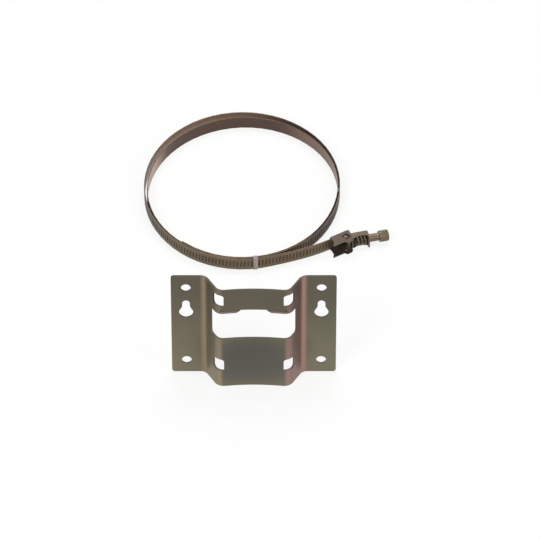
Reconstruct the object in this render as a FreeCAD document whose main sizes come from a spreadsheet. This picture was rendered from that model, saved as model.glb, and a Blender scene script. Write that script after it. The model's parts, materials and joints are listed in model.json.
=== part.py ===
import FreeCAD, Part
import math
import os

import Sketcher
from FreeCAD import Placement, Rotation, Vector

# Bracket for a round expansion vessel: a pressed wall plate, and a racked steel strap
# with a swivelling worm clamp, wound into a coil behind the plate.
# Millimetres. The origin is the centre of the four wall holes on the wall plane.
# +X runs to the right along the wall, +Y into the wall, +Z up.

SIZES = [
    # Wall plate
    ("plate_width", 150.0),
    ("plate_height", 115.0),
    ("sheet_thickness", 2.0),
    ("stand_off", 21.0),
    ("flange_bend_x", 44.0),
    ("cradle_bend_x", 32.0),
    ("bend_radius", 8.5),
    ("cradle_radius", 200.0),
    ("plate_corner_radius", 3.0),
    ("wall_hole_diameter", 9.0),
    ("wall_hole_edge_x", 13.6),
    ("wall_hole_edge_z", 14.0),
    ("keyhole_head_diameter", 12.9),
    ("keyhole_neck_diameter", 6.9),
    ("keyhole_head_z", 14.3),
    ("keyhole_neck_z", 25.2),
    ("keyhole_shoulder_z", 21.6),
    ("keyhole_shoulder_angle", 36.0),
    ("window_width", 78.0),
    ("window_bottom_z", -0.5),
    ("window_top_z", 30.0),
    ("window_corner_radius", 3.0),
    ("window_web_reach", 3.0),
    ("web_cut_angle", 45.0),
    ("lip_outer_x", 30.0),
    ("lip_inner_x", 16.0),
    ("lip_relief_x", 12.0),
    ("lip_bend_z", 33.9),
    ("lip_bend_radius", 3.2),
    ("lip_turn_angle", 38.0),
    ("lip_length", 7.5),
    ("lip_outer_radius", 2.0),
    ("lip_inner_radius", 1.2),
    ("strap_slot_inner_x", 27.2),
    ("strap_slot_outer_x", 36.9),
    ("strap_slot_height", 13.5),
    ("strap_slot_from_top", 12.3),
    ("strap_slot_from_bottom", 25.3),
    ("strap_slot_corner_radius", 2.5),
    # Strap
    ("band_width", 12.6),
    ("band_thickness", 0.8),
    ("coil_half_width", 94.6),
    ("coil_half_depth", 112.0),
    ("coil_offset_x", -11.9),
    ("coil_clear_y", 139.0),
    ("layer_pitch_tied", 1.4),
    ("layer_pitch_loose", 8.4),
    ("rack_groove_width", 1.5),
    ("rack_groove_height", 6.6),
    ("rack_groove_depth", 0.45),
    ("rack_end_margin", 7.0),
    # Clamp
    ("clamp_beyond_x", 3.3),
    ("clamp_beyond_y", 31.58),
    ("saddle_angle", 33.0),
    ("swivel_rest_angle", 17.0),
    ("saddle_sheet", 0.9),
    ("saddle_left", 13.0),
    ("saddle_right", 8.5),
    ("saddle_slant", 4.5),
    ("saddle_depth_left", 5.4),
    ("saddle_depth_right", 8.2),
    ("saddle_step", 4.5),
    ("saddle_step_run", 1.7),
    ("saddle_back_lip", 2.0),
    ("saddle_corner_radius", 0.5),
    ("saddle_toe_radius", 2.0),
    ("saddle_heel_radius", 4.5),
    ("seat_margin", 1.0),
    ("pivot_window", 6.2),
    ("pivot_window_turn", 16.0),
    ("pivot_window_radius", 0.7),
    ("trunnion_diameter", 4.4),
    ("carrier_sheet", 0.8),
    ("carrier_rear_x", 6.0),
    ("carrier_rear_thickness", 1.2),
    ("carrier_end_thickness", 1.6),
    ("carrier_eye_wall", 1.3),
    ("carrier_eye_radius", 2.6),
    ("carrier_back_gap", 0.9),
    ("carrier_back_bevel", 1.2),
    ("carrier_tongue_inset", 3.5),
    ("carrier_tongue_run", 2.0),
    ("carrier_tongue_depth", 0.8),
    ("carrier_shoulder_depth", 2.3),
    ("carrier_foot_depth", 5.6),
    ("carrier_corner_radius", 1.0),
    ("carrier_foot_radius", 0.6),
    ("worm_diameter", 10.6),
    ("worm_root_diameter", 7.8),
    ("worm_length", 13.2),
    ("thread_pitch", 3.4),
    ("thread_crest", 0.9),
    ("shank_diameter", 7.6),
    ("shank_length", 10.4),
    ("tip_overlap", 0.5),
    ("tip_diameter", 4.4),
    ("collar_diameter", 11.0),
    ("collar_length", 1.3),
    ("head_across_flats", 10.0),
    ("head_length", 7.4),
    ("driver_slot_width", 1.5),
    ("driver_slot_depth", 2.2),
    ("head_bevel_depth", 2.6),
    ("head_bevel_run", 0.8),
    # Tie
    ("tie_width", 4.0),
    ("tie_thickness", 0.5),
    ("tie_angle", -82.0),
    # Clearances
    ("band_side_clearance", 0.2),
    ("carrier_side_clearance", 0.2),
    ("worm_band_clearance", 0.4),
    ("worm_end_clearance", 0.3),
    ("journal_clearance", 0.05),
    ("trunnion_clearance", 0.1),
    ("tie_clearance", 0.2),
]

doc = FreeCAD.newDocument("vessel_bracket")
sheet = doc.addObject("Spreadsheet::Sheet", "sizes")
for row, (alias, value) in enumerate(SIZES, start=1):
    sheet.set("A%d" % row, alias.replace("_", " "))
    sheet.set("B%d" % row, str(value))
    sheet.setAlias("B%d" % row, alias)
doc.recompute()


def size(alias):
    return float(sheet.get(alias))


# Planes that several pieces share
floor_z = -size("plate_height") / 2.0
hole_x = size("plate_width") / 2.0 - size("wall_hole_edge_x")
hole_z = size("plate_height") / 2.0 - size("wall_hole_edge_z")
clamp_height = size("band_width") + 2.0 * (size("band_side_clearance") + size("saddle_sheet"))
band_low_z = floor_z + size("saddle_sheet") + size("band_side_clearance")
band_mid_z = floor_z + clamp_height / 2.0


def point(x, y):
    return Vector(x, y, 0.0)


def polar(centre, radius, angle):
    return centre + point(radius * math.cos(angle), radius * math.sin(angle))


def new_body(label):
    body = doc.addObject("PartDesign::Body", label)
    body.Label = label
    return body


def new_sketch(body, name, role, shift=0.0, turn=0.0):
    sketch = body.newObject("Sketcher::SketchObject", name)
    planes = [item for item in body.Origin.OriginFeatures if item.Role == role]
    sketch.AttachmentSupport = [(planes[0], "")]
    sketch.MapMode = "FlatFace"
    sketch.AttachmentOffset = Placement(Vector(0, 0, shift), Rotation(Vector(0, 1, 0), turn))
    return sketch


def draw_loop(sketch, start, steps):
    """Closed outline. A step is an end point, or a pair of a point on an arc and its end."""
    first = sketch.GeometryCount
    here = start
    for step in steps:
        if isinstance(step, tuple):
            sketch.addGeometry(Part.Arc(here, step[0], step[1]), False)
            here = step[1]
        else:
            sketch.addGeometry(Part.LineSegment(here, step), False)
            here = step
    last = sketch.GeometryCount - 1
    for index in range(first, last):
        join_ends(sketch, index, index + 1)
    join_ends(sketch, last, first)


def end_vertex(sketch, index, which):
    """A sketch stores every arc counter-clockwise, so its first vertex may be the path's end."""
    return sketch.getPoint(index, which)


def join_ends(sketch, one, other):
    pairs = [(a, b) for a in (1, 2) for b in (1, 2)]
    gaps = [
        end_vertex(sketch, one, a).distanceToPoint(end_vertex(sketch, other, b)) for a, b in pairs
    ]
    a, b = pairs[gaps.index(min(gaps))]
    sketch.addConstraint(Sketcher.Constraint("Coincident", one, a, other, b))


def rounded(corners, radii):
    """Start point and steps of a polygon whose corners are rounded by the given radii."""
    steps = []
    start = None
    count = len(corners)
    for index, corner in enumerate(corners):
        before = (corners[index - 1] - corner).normalize()
        after = (corners[(index + 1) % count] - corner).normalize()
        half = before.getAngle(after) / 2.0
        radius = radii[index]
        if radius == 0.0:
            entry = corner
            steps.append(corner)
        else:
            reach = radius / math.tan(half)
            middle = (before + after).normalize()
            entry = corner + before * reach
            crown = corner + middle * (radius / math.sin(half) - radius)
            steps.append(entry)
            steps.append((crown, corner + after * reach))
        if index == 0:
            start = entry
    return start, steps[1:] + [start]


def draw_rounded(sketch, corners, radii):
    start, steps = rounded(corners, radii)
    draw_loop(sketch, start, steps)


def draw_circle(sketch, centre, alias):
    """Circle whose diameter follows a cell of the sheet."""
    index = sketch.addGeometry(Part.Circle(centre, Vector(0, 0, 1), size(alias) / 2.0), False)
    row = sketch.addConstraint(Sketcher.Constraint("Diameter", index, size(alias)))
    sketch.setExpression("Constraints[%d]" % row, "sizes." + alias)


def pad(body, sketch, name, length, both_ways=False):
    feature = body.newObject("PartDesign::Pad", name)
    feature.Profile = sketch
    feature.SideType = "Symmetric" if both_ways else "One side"
    feature.setExpression("Length", length)
    return feature


def cut_through(body, sketch, name):
    before = body.Tip
    doc.recompute()
    volume = before.Shape.Volume
    feature = body.newObject("PartDesign::Pocket", name)
    feature.Profile = sketch
    feature.SideType = "Symmetric"
    feature.Type = "ThroughAll"
    doc.recompute()
    if feature.Shape.Volume >= volume:
        raise ValueError("%s removes nothing" % name)
    return feature


def edges_where(shape, test):
    return ["Edge%d" % (i + 1) for i, edge in enumerate(shape.Edges) if test(edge)]


def fillet(body, base, name, radius, test):
    doc.recompute()
    feature = body.newObject("PartDesign::Fillet", name)
    feature.Base = (base, edges_where(base.Shape, test))
    feature.setExpression("Radius", radius)
    return feature


def box_edges(along, **fixed):
    """Test for straight edges along one axis that lie at the given distances from the origin."""

    def test(edge):
        if len(edge.Vertexes) != 2:
            return False
        ends = [vertex.Point for vertex in edge.Vertexes]
        run = ends[1] - ends[0]
        if abs(abs(getattr(run, along)) - run.Length) > 1e-6:
            return False
        return all(
            abs(abs(getattr(end, axis)) - value) < 1e-6
            for axis, value in fixed.items()
            for end in ends
        )

    return test


def web_corners():
    """Ends of the right web's middle line before the bends: beside the cradle, at the flange."""
    half_sheet = size("sheet_thickness") / 2.0
    corner = point(size("cradle_bend_x"), -half_sheet - size("stand_off"))
    return corner, point(size("flange_bend_x"), -half_sheet)


def web_front(x):
    """Point of the right web's front face at a distance from the middle."""
    corner, knee = web_corners()
    web = (knee - corner).normalize()
    start = corner + point(web.y, -web.x) * (size("sheet_thickness") / 2.0)
    return start + web * ((x - start.x) / web.x)


def hat_section():
    """Section of the plate across the wall: flange, web, shallow cradle, web, flange.

    The arcs of the two faces share their centres with those of the middle line.
    """
    half_sheet = size("sheet_thickness") / 2.0
    bend = size("bend_radius")
    cradle = size("cradle_radius") + half_sheet
    corner, knee = web_corners()
    web = (knee - corner).normalize()
    slope = math.atan2(web.y, web.x)
    web_left = point(-web.y, web.x)
    cradle_centre = point(0.0, corner.y - math.sqrt(cradle**2 - corner.x**2))

    # The bend beside the cradle touches the web line and the cradle's circle from outside.
    base = corner + web_left * bend - cradle_centre
    b_half = base.dot(web)
    shift = -b_half + math.sqrt(b_half**2 - base.dot(base) + (cradle + bend) ** 2)
    inner_centre = corner + web_left * bend + web * shift
    away = inner_centre - cradle_centre
    cradle_angle = math.atan2(away.y, away.x)

    outer_centre = point(knee.x + bend * math.tan(slope / 2.0), knee.y - bend)
    half_width = size("plate_width") / 2.0

    def half_face(side):
        """Steps from the middle of the cradle to the flange's end, for one face."""
        lift = side * half_sheet
        cradle_end = polar(cradle_centre, cradle + lift, cradle_angle)
        from_cradle = cradle_angle + math.pi
        to_web = slope - math.pi / 2.0 + 2.0 * math.pi
        bend_mid = polar(inner_centre, bend - lift, (from_cradle + to_web) / 2.0)
        bend_end = polar(inner_centre, bend - lift, to_web)
        knee_start = polar(outer_centre, bend + lift, slope + math.pi / 2.0)
        knee_mid = polar(outer_centre, bend + lift, (slope + math.pi) / 2.0)
        knee_end = polar(outer_centre, bend + lift, math.pi / 2.0)
        flange_end = point(half_width, knee.y + lift)
        return [cradle_end, bend_mid, bend_end, knee_start, knee_mid, knee_end, flange_end]

    def mirror(p):
        return point(-p.x, p.y)

    front = half_face(-1.0)
    back = half_face(1.0)

    def half_steps(p):
        return [(p[1], p[2]), p[3], (p[4], p[5]), p[6]]

    def half_steps_back(p):
        return [p[5], (p[4], p[3]), p[2], (p[1], p[0])]

    front_crown = cradle_centre + point(0.0, cradle - half_sheet)
    back_crown = cradle_centre + point(0.0, cradle + half_sheet)
    steps = half_steps(front) + [back[6]] + half_steps_back(back)
    steps += [(back_crown, mirror(back[0]))]
    steps += half_steps([mirror(p) for p in back])
    steps += [mirror(front[6])]
    steps += half_steps_back([mirror(p) for p in front])
    steps += [(front_crown, front[0])]
    return front[0], steps, cradle_centre


def keyhole(sketch, side):
    """Round head below, narrow neck above, joined by tapered shoulders."""
    x = side * hole_x
    head = point(x, size("keyhole_head_z"))
    neck = point(x, size("keyhole_neck_z"))
    head_radius = size("keyhole_head_diameter") / 2.0
    neck_radius = size("keyhole_neck_diameter") / 2.0
    turn = math.radians(size("keyhole_shoulder_angle"))
    right = polar(head, head_radius, turn)
    left = polar(head, head_radius, math.pi - turn)
    shoulder = size("keyhole_shoulder_z")
    bottom = point(x, head.y - head_radius)
    top = point(x, neck.y + neck_radius)
    steps = [
        point(x + neck_radius, shoulder),
        point(x + neck_radius, neck.y),
        (top, point(x - neck_radius, neck.y)),
        point(x - neck_radius, shoulder),
        left,
        (bottom, right),
    ]
    draw_loop(sketch, right, steps)


def punch_web(body, side, cradle_centre):
    """Strap slots and the window's end on one web.

    The punch leans between the web's own direction and that of the cradle.
    """
    lean = size("web_cut_angle")
    turn = math.radians(lean)
    name = "right" if side > 0.0 else "left"
    sketch = new_sketch(body, name + "_web_openings", "XZ_Plane", turn=side * lean)

    def along(p):
        return side * (p.x * math.cos(turn) + p.y * math.sin(turn))

    inner = size("strap_slot_inner_x")
    cradle_y = cradle_centre.y + math.sqrt(size("cradle_radius") ** 2 - inner**2)
    slot = (along(point(inner, cradle_y)), along(web_front(size("strap_slot_outer_x"))))
    middle = window_middle_x() - size("sheet_thickness") / 2.0
    window = (along(web_front(middle)), along(web_front(size("window_width") / 2.0)))
    half_slot = size("strap_slot_height") / 2.0
    slot_radius = size("strap_slot_corner_radius")
    window_radius = size("window_corner_radius")
    window_radii = [0.0, window_radius, window_radius, 0.0]
    openings = [(window, size("window_bottom_z"), size("window_top_z"), window_radii)]
    half_height = size("plate_height") / 2.0
    upper = half_height - size("strap_slot_from_top")
    lower = size("strap_slot_from_bottom") - half_height
    for middle_z in (upper, lower):
        openings.append((slot, middle_z - half_slot, middle_z + half_slot, [slot_radius] * 4))
    for (near, far), low, high, radii in openings:
        corners = [point(near, low), point(far, low), point(far, high), point(near, high)]
        draw_rounded(sketch, corners, radii)
    cut_through(body, sketch, name + "_web_cut")


def window_middle_x():
    """Half width of the part of the window that is punched straight through."""
    return size("window_width") / 2.0 - size("window_web_reach")


def make_wall_plate():
    body = new_body("wall_plate")
    start, steps, cradle_centre = hat_section()
    section = new_sketch(body, "plate_section", "XY_Plane")
    draw_loop(section, start, steps)
    blank = pad(body, section, "plate_blank", "sizes.plate_height", both_ways=True)

    corners = box_edges("y", x=size("plate_width") / 2.0, z=size("plate_height") / 2.0)
    fillet(body, blank, "plate_corners", "sizes.plate_corner_radius", corners)

    holes = new_sketch(body, "wall_holes", "XZ_Plane")
    for side in (-1.0, 1.0):
        for end in (-1.0, 1.0):
            spot = point(side * hole_x, end * hole_z)
            draw_circle(holes, spot, "wall_hole_diameter")
        keyhole(holes, side)
    cut_through(body, holes, "wall_holes_cut")

    window = new_sketch(body, "window", "XZ_Plane")
    half = window_middle_x()
    lip_end = size("lip_outer_x")
    low = size("window_bottom_z")
    high = size("window_top_z")
    bend = size("lip_bend_z")
    corners = [
        point(-half, low),
        point(half, low),
        point(half, high),
        point(lip_end, high),
        point(lip_end, bend),
        point(-lip_end, bend),
        point(-lip_end, high),
        point(-half, high),
    ]
    draw_rounded(window, corners, [0.0] * len(corners))
    cut_through(body, window, "window_cut")
    for side in (-1.0, 1.0):
        punch_web(body, side, cradle_centre)

    # The lips lean back towards the wall. They follow the cradle, so their section is
    # turned about the cradle's own centre line.
    sheet_t = size("sheet_thickness")
    inside = size("lip_bend_radius") - sheet_t / 2.0
    outside = inside + sheet_t
    front = cradle_centre.y + size("cradle_radius")
    back = front + sheet_t
    centre = point(back + inside, bend)
    lean = math.radians(size("lip_turn_angle"))
    fall = point(math.sin(lean), -math.cos(lean)) * size("lip_length")
    bend_end = math.pi + lean
    bend_mid = math.pi + lean / 2.0
    tip = polar(centre, outside, bend_end) + fall
    section = new_sketch(body, "lip_section", "YZ_Plane")
    steps = [
        (polar(centre, outside, bend_mid), polar(centre, outside, bend_end)),
        tip,
        polar(centre, inside, bend_end) + fall,
        polar(centre, inside, bend_end),
        (polar(centre, inside, bend_mid), point(back, bend)),
        point(front, bend),
    ]
    draw_loop(section, point(front, bend), steps)
    axis = Part.LineSegment(point(cradle_centre.y, 0.0), point(cradle_centre.y, bend))
    section.addGeometry(axis, True)
    lips = body.newObject("PartDesign::Revolution", "lips")
    lips.Profile = section
    lips.ReferenceAxis = (section, ["Axis0"])
    lips.Midplane = True
    lips.Angle = 2.0 * math.degrees(math.asin(lip_end / size("cradle_radius")))

    # One outline trims both lips: the gap between them and their rounded corners.
    trim = new_sketch(body, "lip_trim", "XZ_Plane")
    corner_radius = size("lip_outer_radius")
    inner_radius = size("lip_inner_radius")
    inner = size("lip_inner_x")
    flat = size("lip_relief_x")
    beside = (lip_end + half) / 2.0
    shelf = tip.y + 1.2 * corner_radius  # just above the rounding of the lip's corner
    under = tip.y - corner_radius
    right = [
        point(beside, under),
        point(beside, shelf),
        point(lip_end, shelf),
        point(lip_end, tip.y),
        point(inner, tip.y),
        point(flat, bend),
    ]
    left = [point(-p.x, p.y) for p in reversed(right)]
    radii = [0.0, 0.0, 0.0, corner_radius, inner_radius, inner_radius]
    draw_rounded(trim, right + left, radii + radii[::-1])
    cut_through(body, trim, "lip_trim_cut")
    return body


# Coil of the strap, seen from above. It starts at the clamp and runs clockwise.
coil_centre = point(size("coil_offset_x"), size("coil_clear_y") + size("coil_half_depth"))
pivot = point(
    coil_centre.x + size("coil_half_width") + size("clamp_beyond_x"),
    size("coil_clear_y") + size("clamp_beyond_y"),
)
saddle_frame = Placement(Vector(pivot.x, pivot.y, floor_z), Rotation(size("saddle_angle"), 0, 0))
carrier_frame = Placement(
    saddle_frame.Base, Rotation(size("saddle_angle") - size("swivel_rest_angle"), 0, 0)
)

# Distances from the swivel's axis towards the coil, inside the clamp
band_near_y = size("worm_diameter") / 2.0 + size("worm_band_clearance")
saddle_seat_y = band_near_y + size("band_thickness")
saddle_back_y = saddle_seat_y + size("saddle_sheet")

START_ANGLE = -75.0
END_ANGLE = -128.0 - 720.0
STEP_ANGLE = 36.0
GROOVES_PER_FACET = 3
LOOSE_FROM = 0.0
LOOSE_TO = 215.0


def coil_point(angle):
    """Middle line of the band at a plan angle in degrees, which falls along the strap."""
    turns = (START_ANGLE - angle) / 360.0
    around = (angle - LOOSE_FROM) % 360.0
    share = min(around / (LOOSE_TO - LOOSE_FROM), 1.0)
    loose = math.sin(math.pi * share) ** 2
    tied = size("layer_pitch_tied")
    pitch = tied + (size("layer_pitch_loose") - tied) * loose
    inset = size("band_thickness") / 2.0 + turns * pitch
    across = (size("coil_half_width") - inset) * math.cos(math.radians(angle))
    deep = (size("coil_half_depth") - inset) * math.sin(math.radians(angle))
    return coil_centre + point(across, deep)


def coil_heading(angle):
    return (coil_point(angle - 0.5) - coil_point(angle + 0.5)).normalize()


class Arc:
    """One arc of the strap's middle line, by its start, its heading there and its end."""

    def __init__(self, start, heading, end):
        chord = end - start
        side = point(-heading.y, heading.x)
        lean = chord.dot(side)
        self.radius = chord.dot(chord) / (2.0 * lean)
        self.centre = start + side * self.radius
        self.start = start
        self.turn = 2.0 * math.atan2(lean, chord.dot(heading))
        self.length = self.radius * self.turn

    def at(self, share, lift=0.0):
        """Point and heading at a share of the arc, lifted to the left of the line."""
        spoke = Rotation(Vector(0, 0, 1), math.degrees(self.turn * share))
        arm = spoke.multVec(self.start - self.centre)
        out = (self.start - self.centre).normalize()
        heading = spoke.multVec(point(-out.y, out.x)) * (1.0 if self.radius > 0 else -1.0)
        left = point(-heading.y, heading.x)
        return self.centre + arm + left * lift, heading


def two_arcs(start, heading, end, final):
    """Two arcs that join two points with given headings and meet smoothly between them."""
    chord = end - start
    both = heading + final
    a = 2.0 * (1.0 - heading.dot(final))
    b = chord.dot(both)
    c = chord.dot(chord)
    reach = c / (b + math.sqrt(b * b + a * c))
    middle = (start + end + (heading - final) * reach) * 0.5
    first = Arc(start, heading, middle)
    return [first, Arc(middle, first.at(1.0)[1], end)]


def strap_path():
    """Straight run through the saddle, then the arcs of the lead and of the coil."""
    band_y = band_near_y + size("band_thickness") / 2.0
    seat_end_x = size("saddle_right") - size("seat_margin")
    seat_start = saddle_frame.multVec(Vector(seat_end_x, band_y, -floor_z))
    seat_end = saddle_frame.multVec(Vector(-size("saddle_left"), band_y, -floor_z))
    seat_start.z = 0.0
    seat_end.z = 0.0
    heading = (seat_end - seat_start).normalize()
    count = math.ceil((START_ANGLE - END_ANGLE) / STEP_ANGLE)
    angles = [START_ANGLE + (END_ANGLE - START_ANGLE) * i / count for i in range(count + 1)]
    arcs = two_arcs(seat_end, heading, coil_point(START_ANGLE), coil_heading(START_ANGLE))
    for one, other in zip(angles, angles[1:]):
        arcs += two_arcs(coil_point(one), coil_heading(one), coil_point(other), coil_heading(other))
    return seat_start, seat_end, arcs


def strap_vertices(seat_start, arcs):
    """Corners of the strap's middle line: the seat, then one facet for each few grooves."""
    facet = GROOVES_PER_FACET * size("thread_pitch")
    length = sum(arc.length for arc in arcs)
    count = int((length - size("rack_end_margin")) / facet)
    vertices = [seat_start, arcs[0].start]
    travelled = 0.0
    place = facet
    for arc in arcs:
        while place < travelled + arc.length and place < (count + 0.5) * facet:
            vertices.append(arc.at((place - travelled) / arc.length)[0])
            place += facet
        travelled += arc.length
    vertices.append(arcs[-1].at(1.0)[0])
    return vertices, length


def face_of(corners, holes=()):
    wires = [Part.makePolygon(list(loop) + [loop[0]]) for loop in [corners] + list(holes)]
    return Part.makeFace(wires, "Part::FaceMakerBullseye")


def groove_corners(start, heading, run, lead):
    """Corners of the slanted grooves of one facet, on its middle plane."""
    half_width = size("rack_groove_width") / 2.0
    half_height = size("rack_groove_height") / 2.0
    grooves = []
    for index in range(GROOVES_PER_FACET):
        along = run / 2.0 + (index - (GROOVES_PER_FACET - 1) / 2.0) * size("thread_pitch")
        loop = []
        for a, b in ((-1.0, -1.0), (1.0, -1.0), (1.0, 1.0), (-1.0, 1.0)):
            across = a * half_width * math.cos(lead) - b * half_height * math.sin(lead)
            rise = a * half_width * math.sin(lead) + b * half_height * math.cos(lead)
            spot = start + heading * (along + across)
            loop.append(Vector(spot.x, spot.y, band_mid_z + rise))
        grooves.append(loop)
    return grooves


def make_strap_band():
    """Band of flat facets with the worm's rack pressed into its outer face."""
    seat_start, seat_end, arcs = strap_path()
    vertices, length = strap_vertices(seat_start, arcs)
    half = size("band_thickness") / 2.0
    lead = math.atan(size("thread_pitch") / (math.pi * size("worm_diameter")))
    headings = [(b - a).normalize() for a, b in zip(vertices, vertices[1:])]
    lefts = [point(-h.y, h.x) for h in headings]
    offsets = [lefts[0]]
    for one, other in zip(lefts, lefts[1:]):
        mean = (one + other).normalize()
        offsets.append(mean / mean.dot(one))
    offsets.append(lefts[-1])

    def edge_point(index, side, z):
        spot = vertices[index] + offsets[index] * (side * half)
        return Vector(spot.x, spot.y, z)

    high_z = band_low_z + size("band_width")
    faces = []
    for index, (heading, left) in enumerate(zip(headings, lefts)):
        run = vertices[index].distanceToPoint(vertices[index + 1])
        racked = 0 < index < len(headings) - 1
        grooves = groove_corners(vertices[index], heading, run, lead) if racked else []
        rims = [[corner + left * half for corner in groove] for groove in grooves]
        for side, holes in ((-1.0, []), (1.0, rims)):
            corners = [edge_point(index, side, band_low_z), edge_point(index + 1, side, band_low_z)]
            corners += [edge_point(index + 1, side, high_z), edge_point(index, side, high_z)]
            faces.append(face_of(corners, holes))
        for rim in rims:
            bed = [corner - left * size("rack_groove_depth") for corner in rim]
            faces.append(face_of(bed))
            for a in range(4):
                b = (a + 1) % 4
                faces.append(face_of([rim[a], rim[b], bed[b], bed[a]]))
    last = len(vertices) - 1
    for z in (band_low_z, high_z):
        outline = [edge_point(i, 1.0, z) for i in range(last + 1)]
        outline += [edge_point(i, -1.0, z) for i in range(last, -1, -1)]
        faces.append(face_of(outline))
    for index in (0, last):
        corners = [edge_point(index, -1.0, band_low_z), edge_point(index, 1.0, band_low_z)]
        corners += [edge_point(index, 1.0, high_z), edge_point(index, -1.0, high_z)]
        faces.append(face_of(corners))

    skin = Part.makeCompound(faces)
    skin.sewShape()
    band = Part.makeSolid(skin.Shells[0])
    if band.Volume < 0.0:
        band.reverse()
    feature = doc.addObject("Part::Feature", "strap_band")
    feature.Label = "strap_band"
    feature.Shape = band
    groove_count = (len(headings) - 2) * GROOVES_PER_FACET
    length += seat_start.distanceToPoint(seat_end)
    print("strap length %.0f mm, %d rack grooves" % (length, groove_count))
    return feature


def make_coil_tie():
    """Thin strip round the three layers where they lie closest."""
    outer = coil_point(size("tie_angle"))
    heading = coil_heading(size("tie_angle"))
    layers = outer.distanceToPoint(coil_point(size("tie_angle") - 720.0)) + size("band_thickness")
    clear = size("tie_clearance")
    thickness = size("tie_thickness")
    deep = layers + 2.0 * clear
    tall = size("band_width") + 2.0 * clear
    body = new_body("coil_tie")
    section = new_sketch(body, "tie_section", "YZ_Plane")
    for grow in (thickness, 0.0):
        far = clear + size("band_thickness") / 2.0 + grow
        low = -tall / 2.0 - grow
        corners = [
            point(far - deep - 2.0 * grow, low),
            point(far, low),
            point(far, -low),
            point(far - deep - 2.0 * grow, -low),
        ]
        draw_rounded(section, corners, [2.0 * grow] * 4)
    pad(body, section, "tie_strip", "sizes.tie_width", both_ways=True)
    turn = math.degrees(math.atan2(heading.y, heading.x))
    body.Placement = Placement(Vector(outer.x, outer.y, band_mid_z), Rotation(turn, 0, 0))
    return body


def make_clamp_saddle():
    """Folded channel, open away from the coil, with slanted and stepped cheeks."""
    body = new_body("clamp_saddle")
    slant = size("saddle_slant")
    left = -size("saddle_left")
    right = size("saddle_right")
    shallow = -size("saddle_depth_left")
    deep = -size("saddle_depth_right")
    step = -size("saddle_step")
    corners = [
        point(left, saddle_back_y),
        point(left, saddle_seat_y - size("saddle_back_lip")),
        point(left - slant / 5.0, shallow / 5.0),
        point(left - slant, shallow),
        point(step, shallow),
        point(step + size("saddle_step_run"), deep),
        point(right - slant, deep),
        point(right, saddle_back_y),
    ]
    outline = new_sketch(body, "cheek_outline", "XY_Plane")
    small = size("saddle_corner_radius")
    toe = size("saddle_toe_radius")
    heel = size("saddle_heel_radius")
    draw_rounded(outline, corners, [small, toe, toe, small, small, small, heel, toe])
    block = body.newObject("PartDesign::Pad", "saddle_block")
    block.Profile = outline
    block.setExpression(
        "Length", "sizes.band_width + 2 * (sizes.band_side_clearance + sizes.saddle_sheet)"
    )
    doc.recompute()

    channel = new_sketch(body, "channel", "YZ_Plane")
    sheet_t = size("saddle_sheet")
    front = 2.0 * deep
    corners = [
        point(front, sheet_t),
        point(saddle_seat_y, sheet_t),
        point(saddle_seat_y, clamp_height - sheet_t),
        point(front, clamp_height - sheet_t),
    ]
    draw_rounded(channel, corners, [0.0] * 4)
    cut_through(body, channel, "channel_cut")

    # Square windows for the trunnions, which bear on one side under the strap's pull.
    windows = new_sketch(body, "pivot_windows", "XY_Plane")
    half = size("pivot_window") / 2.0
    turn = math.radians(size("pivot_window_turn"))
    along = point(math.cos(turn), math.sin(turn))
    across = point(-along.y, along.x)
    centre = along * (half - size("trunnion_diameter") / 2.0 - size("trunnion_clearance"))
    corners = [
        centre + along * (a * half) + across * (b * half)
        for a, b in ((-1.0, -1.0), (1.0, -1.0), (1.0, 1.0), (-1.0, 1.0))
    ]
    draw_rounded(windows, corners, [size("pivot_window_radius")] * 4)
    cut_through(body, windows, "pivot_windows_cut")
    body.Placement = saddle_frame
    return body


carrier_rear_face = size("carrier_rear_x") + size("carrier_rear_thickness")
worm_start = carrier_rear_face + size("worm_end_clearance")
worm_end = worm_start + size("worm_length")
carrier_end_face = worm_end + size("worm_end_clearance")
carrier_length = carrier_end_face + size("carrier_end_thickness")
carrier_low = size("saddle_sheet") + size("carrier_side_clearance")
carrier_height = clamp_height - 2.0 * carrier_low


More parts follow.
